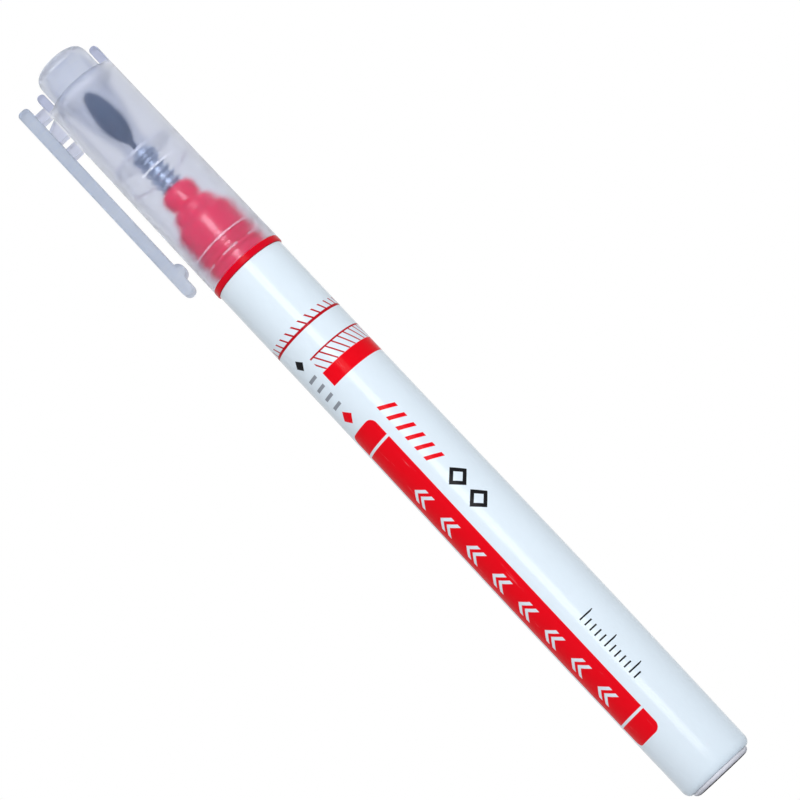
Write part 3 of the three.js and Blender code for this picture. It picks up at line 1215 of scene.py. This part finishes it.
@dataclass
class Nose:
    """The red stepped nose with its flange ring, and painted shade lines on the lower side of each ridge and
    where the neck starts.
    """

    spigot_radius: float = 4.87
    spigot_bore: float = 3.57
    flange_gap: float = 0.05
    flange_height: float = 1.0
    radius: float = 4.87
    cylinder: float = 8.8
    cone: float = 1.35
    waist_radius: float = 3.9
    waist: float = 1.45
    waist_draft: float = 0.5
    slope: float = 0.75
    neck_radius: float = 2.6
    head_radius: float = 2.9
    head_edge: float = 1.2
    head_rise: float = 1.5
    head_steps: int = 10
    bore: float = 1.4
    counterbore: float = 2.0
    guide: float = 12.8
    chamber: float = 2.5
    chamber_cone: float = 1.57
    ridge_proud: float = 0.12
    ridge_half: float = 0.16
    ridge_profile: tuple[Point, ...] = ((-1.6, 0), (-0.5, 1), (0.5, 1), (1.6, 0))
    ridge_edge: float = 0.05
    ridges: tuple[float, ...] = (1.85, 2.65, 3.6)
    # height above the ring where the neck starts, which gets a line of painted shade
    line: float = 12.35
    ring_colour: Colour = (0.72, 0.002, 0.016)

    def build(self) -> None:
        """Make the nose."""
        span = Span.of("nose_section")
        ring_bottom = Span.of("barrel").top + self.flange_gap
        ring_top = ring_bottom + self.flange_height
        cone_bottom = ring_top + self.cylinder
        waist_bottom = cone_bottom + self.cone
        waist_top = waist_bottom + self.waist
        stop = span.top - self.guide
        head_centre = (self.head_radius - self.head_edge, span.top - self.head_rise)
        head = arc_points(head_centre, (self.head_edge, self.head_rise), 0, 90, self.head_steps)
        ridges = [
            Corner(
                self.radius + self.ridge_proud * proud,
                ring_top + ridge + self.ridge_half * along,
                self.ridge_edge,
            )
            for ridge in self.ridges
            for along, proud in self.ridge_profile
        ]
        outline = softened([
            Corner(self.spigot_bore, span.bottom, Edge.FINE),
            Corner(self.spigot_radius, span.bottom, Edge.SOFT),
            Corner(self.spigot_radius, ring_bottom),
            Corner(span.radius, ring_bottom, Edge.FLANGE),
            Corner(span.radius, ring_top, Edge.FLANGE),
            Corner(self.radius, ring_top, Edge.SMALL),
            *ridges,
            Corner(self.radius, cone_bottom, Edge.CONE),
            Corner(self.waist_radius, waist_bottom, Edge.WAIST),
            Corner(self.waist_radius - self.waist_draft, waist_top, Edge.SOFT),
            Corner(self.neck_radius, waist_top + self.slope, Edge.SOFT),
            *(Corner(x, z) for x, z in head),
            Corner(self.bore, span.top, Edge.FINE),
            Corner(self.bore, stop),
            Corner(self.counterbore, stop),
            Corner(self.counterbore, stop - self.chamber),
            Corner(self.spigot_bore, stop - self.chamber - self.chamber_cone),
        ], closed=True)
        # painted shade: darker lines on the lower side of each ridge and just below where the neck starts
        lines = tuple(ring_top + ridge - self.ridge_half for ridge in (*self.ridges, self.line))
        deep_top = ring_top + RED_PLASTIC.deep_edge
        finish = replace(RED_PLASTIC, deep=self.ring_colour, deep_top=deep_top, lines=lines)
        dressed(turned("stepped_nose", outline), finish, Slot.RED, Body.MARKER, "nose_section")


@dataclass
class SprungTip:
    """The steel tube with its collar, spring and nib."""

    tube_radius: float = 1.3
    tube_bore: float = 0.45
    tube_edge: float = 0.18
    foot_height: float = 0.7
    small_edge: float = 0.05
    foot_edge: float = 0.1
    collar_edge: float = 0.2
    wire_radius: float = 0.2
    wire_sides: int = 12
    coil_radius: float = 1.72
    coil_steps: int = 240
    turns: float = 6.0
    flat_share: float = 0.09
    nib_radius: float = 1.84
    nib_neck: float = 1.4
    nib_belly: float = 0.42
    nib_steps: int = 16
    nib_end_steps: int = 20
    shank_radius: float = 0.4

    def build_tube(self) -> None:
        """Make the guide tube with its foot."""
        span = Span.of("guide_tube")
        foot_top = span.bottom + self.foot_height
        outline = softened([
            Corner(self.tube_bore, span.bottom, self.small_edge),
            Corner(span.radius, span.bottom, self.foot_edge),
            Corner(span.radius, foot_top, self.foot_edge),
            Corner(self.tube_radius, foot_top, self.small_edge),
            Corner(self.tube_radius, span.top, self.tube_edge),
            Corner(self.tube_bore, span.top, self.small_edge),
        ], closed=True)
        tube = turned("steel_guide_tube", outline, FINE_STEPS)
        dressed(tube, STEEL, Slot.STEEL, Body.TIP, "guide_tube")

    def build_collar(self) -> None:
        """Make the collar that holds the spring."""
        span = Span.of("spring_collar")
        bore = self.tube_radius + self.small_edge
        outline = softened([
            Corner(bore, span.bottom),
            Corner(span.radius, span.bottom, self.collar_edge),
            Corner(span.radius, span.top, self.collar_edge),
            Corner(bore, span.top),
        ], closed=True)
        collar = turned("tube_collar", outline, FINE_STEPS)
        dressed(collar, STEEL, Slot.STEEL, Body.TIP, "spring_collar")

    def build_spring(self) -> None:
        """Make the coil spring."""
        span = Span.of("tube_spring")
        low, high = span.bottom + self.wire_radius, span.top - self.wire_radius
        wire = arc_points((0, 0), (self.wire_radius, self.wire_radius), 0, 360, self.wire_sides)[1:]
        up = Vector((0, 0, 1))
        rings = []
        for step in range(self.coil_steps + 1):
            t = step / self.coil_steps
            angle = 2 * math.pi * self.turns * t
            out = Vector((math.cos(angle), math.sin(angle), 0))
            rise = min(max((t - self.flat_share) / (1 - 2 * self.flat_share), 0), 1)
            centre = out * self.coil_radius + up * (low + (high - low) * rise)
            rings.append([centre + out * across + up * along for across, along in wire])
        spring = lofted("coil_spring", rings)
        dressed(spring, STEEL, Slot.STEEL, None, "tube_spring")
        start, end = (0, 0, span.bottom * MM), (0, 0, span.top * MM)
        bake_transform(spring)

    def build_nib(self) -> None:
        """Make the bullet nib with its shank."""
        span = Span.of("nib")
        base = Span.of("guide_tube").top + self.nib_neck
        belly = base + self.nib_belly * (span.top - base)
        lower = []
        for step in range(self.nib_steps + 1):
            t = step / self.nib_steps
            swell = (self.nib_radius - self.shank_radius) * math.sin(t * math.pi / 2)
            lower.append((self.shank_radius + swell, base + (belly - base) * t))
        upper = arc_points((0, belly), (self.nib_radius, span.top - belly), 0, 90, self.nib_end_steps)
        outline = [
            (0, span.bottom), (self.shank_radius / 2, span.bottom),
            (self.shank_radius, span.bottom + self.shank_radius),
            *lower, *upper[1:-1], (0, span.top),
        ]
        nib = turned("bullet_nib", outline, FINE_STEPS)
        dressed(nib, NIB_FIBRE, Slot.NIB, Body.TIP, "nib")

    def build(self) -> None:
        """Make every piece of the tip."""
        self.build_tube()
        self.build_collar()
        self.build_spring()
        self.build_nib()


@dataclass
class Cap:
    """The frosted cap with its crown plug and the conical seal round the nib."""

    mouth_bore: float = 5.45
    bore: float = 5.25
    middle_bore: float = 5.1
    upper_bore: float = 4.95
    top_radius: float = 5.9
    relief: float = 4.35
    step_below_seal: float = 3.3
    end_wall: float = 0.75
    shoulder_edge: float = 0.7
    bead_height: float = 2.0
    bead_width: float = 0.32
    bead_proud: float = 0.15
    bead_root: float = 0.25
    bead_edge: float = 0.12
    bead_steps: int = 3
    bead_clear: float = 0.03
    bead_count: int = 7
    bead_span: float = 30.0
    post_inner: float = 4.65
    post_span: float = 26.0
    post_edge: float = 0.6
    strut_width: float = 2.4
    strut_reach: float = 0.05
    strut_edge: float = 0.15
    struts: tuple[Triple, ...] = ((-1.4, 0.31, 0.0), (1.76, 4.06, 1.0), (5.4, 7.2, 0.0))
    bar_inner: float = 7.6
    crown_radius: float = 4.3
    crown_gap: float = 0.1
    crown_wall: float = 0.9
    crown_top_wall: float = 1.0
    crown_flange: float = 0.6
    crown_edge: float = 2.1
    crown_inner_edge: float = 1.4
    crown_steps: int = 8
    crown_height: float = 5.45
    crown_clear: float = 0.6
    seal_inner: tuple[Point, ...] = ((1.42, 1.45), (1.98, 4.3), (2.85, 7.85))
    seal_outer: tuple[Point, ...] = ((1.95, 1.45), (2.75, 4.5), (3.4, 7.85))
    seal_rim: Point = (3.2, 3.75)
    seal_base_bore: float = 2.2
    seal_base: float = 0.65
    seal_gap: float = 0.05
    seal_wall: float = 0.45
    seal_softness: float = 0.6
    seal_foot: float = 0.8
    rim_highlight_width: float = 0.08
    relief_highlight_height: float = 0.22
    end_clear: float = 0.5
    zone_skin: float = 0.05
    zone_slack: float = 0.1
    zone_depth: float = 0.3
    zone_past: float = 1.0
    # shares of the milky layer; those of the beads, relief, step and rims are painted highlights
    bead_highlight_share: float = 0.45
    relief_highlight_share: float = 0.5
    step_highlight_share: float = 0.7
    top_share: float = 0.52
    strut_share: float = 0.36
    crown_rim_highlight_share: float = 0.5
    seal_rim_highlight_share: float = 0.6
    funnel_share: float = 0.19

    @property
    def shoulder(self) -> float:
        """Height of the cap's shoulder."""
        return Span.of("cap_crown").top - self.crown_height

    def _tube(self) -> Piece:
        """Make the cap's tube with its inner steps.

        Returns:
            The closed tube.
        """
        span = Span.of("cap_shell")
        seal = Span.of("nib_seal")
        end_bottom = self.shoulder - self.end_wall
        hole = self.crown_radius + self.crown_gap
        ledge = seal.bottom + self.seal_base + self.seal_gap
        step = seal.bottom - self.step_below_seal
        relief_top = span.bottom + self.relief
        return turned("cap_tube", softened([
            Corner(self.mouth_bore, span.bottom, Edge.LIP),
            Corner(span.radius, span.bottom, Edge.MOUTH),
            Corner(self.top_radius, self.shoulder, self.shoulder_edge),
            Corner(hole, self.shoulder, Edge.LIP),
            Corner(hole, end_bottom, Edge.CRISP),
            Corner(self.upper_bore, end_bottom, Edge.SOFT),
            Corner(self.upper_bore, ledge, Edge.CRISP),
            Corner(self.middle_bore, ledge, Edge.CRISP),
            Corner(self.middle_bore, step, Edge.CRISP),
            Corner(self.bore, step, Edge.CRISP),
            Corner(self.bore, relief_top, Edge.CRISP),
            Corner(self.mouth_bore, relief_top, Edge.CRISP),
        ], closed=True))

    def _beads(self) -> list[Piece]:
        """Make the short snap beads inside the mouth.

        Returns:
            The beads, which reach into the wall.
        """
        bottom = Span.of("cap_shell").bottom + self.bead_height
        top = bottom + self.bead_width
        inner, outer = self.mouth_bore - self.bead_proud, self.mouth_bore + self.bead_root
        section = softened([
            Corner(outer, bottom),
            Corner(outer, top),
            Corner(inner, top, self.bead_edge),
            Corner(inner, bottom, self.bead_edge),
        ], closed=True, steps=self.bead_steps)
        angles = [-90 + 360 * i / self.bead_count for i in range(self.bead_count)]
        return [ring_sector(f"bead_{i}", section, angle, self.bead_span) for i, angle in enumerate(angles)]

    def _posts(self) -> list[Piece]:
        """Make the two posts beside the crown.

        Returns:
            The posts, which reach into the shoulder.
        """
        top = Span.of("cap_shell").top
        bottom = self.shoulder - self.shoulder_edge
        section = softened([
            Corner(self.post_inner, bottom),
            Corner(self.top_radius, bottom),
            Corner(self.top_radius, top, self.post_edge),
            Corner(self.post_inner, top, self.post_edge),
        ], closed=True)
        return [ring_sector(f"post_{i}", section, 180 * i, self.post_span) for i in range(2)]

    def _struts(self) -> list[Piece]:
        """Make the struts that carry the clip's bar.

        Returns:
            The struts, which reach into the wall.
        """
        wall = -(self.upper_bore + self.top_radius) / 2
        end = -self.bar_inner - self.strut_reach
        made = []
        for index, (top, bottom, slant) in enumerate(self.struts):
            outline = softened([
                Corner(end, self.shoulder - bottom),
                Corner(wall, self.shoulder - bottom),
                Corner(wall, self.shoulder - top + slant),
                Corner(end, self.shoulder - top),
            ], closed=True)
            made.append(plate(f"strut_{index}", outline, self.strut_width, self.strut_edge))
        return made

    def _zones(self) -> tuple[Zone, ...]:
        """Find where the shell scatters more light, and where it has painted highlights.

        Returns:
            The beads and the bore's steps, which carry pale painted highlights, and the thick posts and
            struts.
        """
        shell = Span.of("cap_shell")
        skin, slack = self.zone_skin, self.zone_slack
        bead = shell.bottom + self.bead_height
        relief = shell.bottom + self.relief
        step = Span.of("nib_seal").bottom - self.step_below_seal
        top = shell.top + self.zone_past
        bead_reach = (self.mouth_bore - self.zone_depth, self.mouth_bore - self.bead_clear)
        relief_reach = (self.bore - slack, self.mouth_bore + skin)
        step_reach = (self.middle_bore - slack, self.bore + skin)
        strut_reach = (shell.radius + skin, self.bar_inner + self.zone_past)
        return (
            # the beads, the relief and the step are pale painted highlights; the top and the struts only
            # scatter more
            Zone(bead - skin, bead + self.bead_width, *bead_reach, self.bead_highlight_share),
            Zone(relief - slack, relief + self.relief_highlight_height, *relief_reach, self.relief_highlight_share),
            Zone(step - 2 * slack, step + 2 * slack, *step_reach, self.step_highlight_share),
            Zone(self.shoulder + self.zone_depth, top, 0, self.top_radius + slack, self.top_share, False),
            Zone(step, top, *strut_reach, self.strut_share, False),
        )

    def build_shell(self) -> None:
        """Make the cap's shell in one closed piece."""
        shell = fused("frosted_cap", self._tube(), [*self._beads(), *self._posts(), *self._struts()])
        end_bottom = self.shoulder - self.end_wall - self.zone_skin - self.zone_slack
        end_radius = self.top_radius - self.end_clear
        end = Zone(end_bottom, self.shoulder + self.zone_slack, 0, end_radius, 0)
        finish = replace(CAP_PLASTIC, zones=self._zones(), untinted=end)
        dressed(shell, finish, Slot.FROSTED, Body.CAP, "cap_shell")

    def build_crown(self) -> None:
        """Make the plug that stands out of the cap's top."""
        span = Span.of("cap_crown")
        skin, slack = self.zone_skin, self.zone_slack
        flange_top = span.bottom + self.crown_flange
        hollow = self.crown_radius - self.crown_wall
        hollow_top = span.top - self.crown_top_wall
        outline = softened([
            Corner(0, hollow_top),
            Corner(hollow, hollow_top, self.crown_inner_edge),
            Corner(hollow, span.bottom, Edge.FINE),
            Corner(span.radius, span.bottom, Edge.SMALL),
            Corner(span.radius, flange_top, Edge.SMALL),
            Corner(self.crown_radius, flange_top, Edge.CRISP),
            Corner(self.crown_radius, span.top, self.crown_edge),
            Corner(0, span.top),
        ], closed=False, steps=self.crown_steps)
        reach = (span.radius - self.rim_highlight_width, span.radius + slack)
        # painted highlight: a pale ring round the crown's flange
        rim = Zone(span.bottom - slack, flange_top + skin, *reach, self.crown_rim_highlight_share)
        finish = replace(CROWN_PLASTIC, zones=(rim,), clear_top=flange_top + self.crown_clear)
        dressed(turned("crown_plug", outline), finish, Slot.FROSTED, Body.CAP, "cap_crown")

    def build_seal(self) -> None:
        """Make the conical seal."""
        span = Span.of("nib_seal")
        slack, past = self.zone_slack, self.zone_past
        base_top = span.bottom + self.seal_base
        tube_top = Span.of("guide_tube").top
        inner, outer = (
            [Corner(radius, tube_top + rise, self.seal_softness) for radius, rise in wall]
            for wall in (self.seal_inner, self.seal_outer)
        )
        rim_inner, rim_outer = self.seal_rim
        outline = softened([
            Corner(self.seal_base_bore, span.bottom, Edge.FINE),
            Corner(span.radius, span.bottom, Edge.SMALL),
            Corner(span.radius, base_top, Edge.SMALL),
            Corner(self.seal_base_bore + self.seal_wall, base_top, Edge.BASE),
            *outer,
            Corner(rim_outer, span.top, Edge.LIP),
            Corner(rim_inner, span.top, Edge.LIP),
            *reversed(inner),
            Corner(self.seal_base_bore, base_top, Edge.FINE),
        ], closed=True)
        reach = (span.radius - slack, span.radius + past)
        # painted highlight: a pale ring round the seal's base
        rim = Zone(span.bottom - past, base_top - slack, *reach, self.seal_rim_highlight_share)
        foot = base_top + self.seal_foot
        funnel = Zone(foot, span.top + past, 0, rim_outer + slack, self.funnel_share, pale=False)
        finish = replace(SEAL_PLASTIC, zones=(rim, funnel))
        dressed(turned("cone_seal", outline), finish, Slot.CLEAR, Body.CAP, "nib_seal")

    def build(self) -> None:
        """Make every piece of the cap."""
        self.build_shell()
        self.build_crown()
        self.build_seal()


@dataclass
class Clip:
    """The clip's bar."""

    joint: str = "clip_flex"
    thickness: float = 1.9
    width: float = 3.4
    inner: float = 7.6
    edge: float = 0.32
    bump_radius: float = 1.2
    bump_inset: float = 0.28
    bump_height: float = 5.7
    bump_steps: int = 16
    foot_steps: int = 3
    end_steps: int = 20
    inner_steps: int = 60
    outer_steps: int = 68
    top_corner: float = 0.65
    corner_steps: int = 8
    bend_above: float = 0.4
    bend_below: float = 2.6

    def build(self) -> None:
        """Make the whole bar."""
        shell, arm = Span.of("cap_shell"), Span.of("clip_arm")
        half, corner = self.thickness / 2, self.top_corner
        inner, outer = -self.inner, -self.inner - self.thickness
        top, bottom = shell.top - corner, arm.bottom + half
        bump = (inner - self.bump_inset, shell.bottom + self.bump_height)
        turn = math.degrees(math.acos(self.bump_inset / self.bump_radius))
        bump_arc = arc_points(bump, (self.bump_radius, self.bump_radius), -turn, turn, self.bump_steps)
        bar = plate("clip_bar", [
            *arc_points((inner - half, bottom), (half, half), 180, 360, self.end_steps),
            *straight_points((inner, bottom), bump_arc[0], self.foot_steps),
            *bump_arc,
            *straight_points(bump_arc[-1], (inner, top), self.inner_steps),
            *arc_points((inner - corner, top), (corner, corner), 0, 90, self.corner_steps),
            *arc_points((outer + corner, top), (corner, corner), 90, 180, self.corner_steps),
            *straight_points((outer, top), (outer, bottom), self.outer_steps),
        ], self.width, self.edge)
        dressed(bar, CLIP_PLASTIC, Slot.FROSTED, None, "clip_arm")
        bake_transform(bar)


# Studio


@dataclass(frozen=True)
class PhotoCamera:
    """The photograph's camera: places in millimetres, angles in degrees, focal length in image pixels."""

    distance: float = 508.3
    height: float = -6.45
    aim_right: float = 2.85
    aim_height: float = 69.9
    roll: float = -43.19
    focal: float = 3600.0
    image_width: float = 800.0
    sensor: float = 36.0
    clip: Point = (10.0, 20000.0)

    def build(self) -> None:
        """Place the camera and make it the scene's."""
        data = bpy.data.cameras.new("photo_camera")
        data.sensor_width = self.sensor
        data.lens = self.focal / self.image_width * self.sensor
        data.clip_start, data.clip_end = (reach * MM for reach in self.clip)
        camera = bpy.data.objects.new("photo_camera", data)
        place = Vector((0, -self.distance, self.height)) * MM
        aim = Vector((self.aim_right, 0, self.aim_height)) * MM
        turn = (aim - place).to_track_quat("-Z", "Y") @ Quaternion((0, 0, 1), math.radians(self.roll))
        camera.location = place
        camera.rotation_mode = "QUATERNION"
        camera.rotation_quaternion = turn
        bpy.context.scene.collection.objects.link(camera)
        bpy.context.scene.camera = camera


@dataclass(frozen=True)
class Lamp:
    """A soft lamp aimed at the marker, in metres and watts."""

    name: str
    place: Triple
    size: Point
    power: float
    aim: Triple = (0.0, 0.0, 0.07)

    def build(self) -> None:
        """Place the lamp."""
        data = bpy.data.lights.new(self.name, "AREA")
        data.shape = "RECTANGLE"
        data.size, data.size_y = self.size
        data.energy = self.power
        lamp = bpy.data.objects.new(self.name, data)
        lamp.location = self.place
        aim = Vector(self.aim) - Vector(self.place)
        lamp.rotation_mode = "QUATERNION"
        lamp.rotation_quaternion = aim.to_track_quat("-Z", "Y")
        bpy.context.scene.collection.objects.link(lamp)


@dataclass(frozen=True)
class Studio:
    """White surroundings, a pale floor and soft lamps; lengths in metres."""

    ambient: float = 0.36
    paper: float = 0.9
    floor_size: float = 4.0
    fade_start: float = 0.12
    fade_end: float = 0.7
    lamps: tuple[Lamp, ...] = (
        Lamp("front_lamp", (0.083, -0.85, 0.25), (0.32, 0.5), 3.6),
        Lamp("high_lamp", (0.12, -0.65, 0.95), (0.6, 0.6), 1.5),
        Lamp("back_lamp", (0.0, 0.65, 1.1), (0.6, 0.6), 3.0),
    )

    @staticmethod
    def _looks(graph: Graph) -> tuple[Signal, Signal]:
        """Tell the rays apart.

        Args:
            graph: the graph that asks.

        Returns:
            1 for camera rays, and 1 for camera, glossy and transmission rays.
        """
        path = graph.node("ShaderNodeLightPath")
        names = ("Is Camera Ray", "Is Glossy Ray", "Is Transmission Ray")
        camera, glossy, passing = (Signal(graph, path.outputs[name]) for name in names)
        return camera, camera.at_least(glossy).at_least(passing)

    def build_world(self) -> None:
        """Make the white surroundings, which light the object less than they look."""
        world = bpy.data.worlds.new("white_room")
        bpy.context.scene.world = world
        graph = Graph(world)
        strength = self._looks(graph)[1] * (1 - self.ambient) + self.ambient
        values = {"Color": (*WHITE, 1), "Strength": strength}
        background = graph.node("ShaderNodeBackground", values=values)
        graph.node("ShaderNodeOutputWorld", values={"Surface": background})

    def build_floor(self) -> None:
        """Make the floor: it keeps the shadow, fades to white far off, and can't be seen from beneath."""
        mesh = bmesh.new()
        half = self.floor_size / 2 / MM
        corners = ((-half, -half), (half, -half), (half, half), (-half, half))
        mesh.faces.new([mesh.verts.new((x, y, 0)) for x, y in corners])
        floor = mesh_object("studio_floor", mesh)
        graph = Graph.of_material("studio_floor")
        middle, width = (self.fade_start + self.fade_end) / 2, self.fade_end - self.fade_start
        far = (graph.from_axis() * MM).rises(middle, width)
        camera, looks = self._looks(graph)
        under = Signal(graph, graph.node("ShaderNodeNewGeometry").outputs["Backfacing"])
        paper = graph.node("ShaderNodeBsdfDiffuse", values={"Color": (self.paper, self.paper, self.paper, 1)})
        white = graph.node("ShaderNodeEmission", values={"Color": (*WHITE, 1), "Strength": 1.0})
        clear = graph.node("ShaderNodeBsdfTransparent")
        top = graph.blended(far * looks, paper, white)
        whole = graph.blended(under * camera, top, clear)
        graph.node("ShaderNodeOutputMaterial", values={"Surface": whole})
        floor.data.materials.append(graph.owner)

    def build(self) -> None:
        """Make the whole studio."""
        bpy.context.scene.view_settings.view_transform = "Standard"
        self.build_world()
        self.build_floor()
        for lamp in self.lamps:
            lamp.build()


def main() -> None:
    """Build the studio and the marker, piece by piece."""
    logging.basicConfig(level=logging.INFO, format="%(name)s: %(message)s")
    PhotoCamera().build()
    Studio().build()
    for assembly in (MarkerBody(), Nose(), SprungTip(), Cap(), Clip()):
        LOG.info("building %s", type(assembly).__name__)
        assembly.build()


if __name__ == "__main__":
    main()
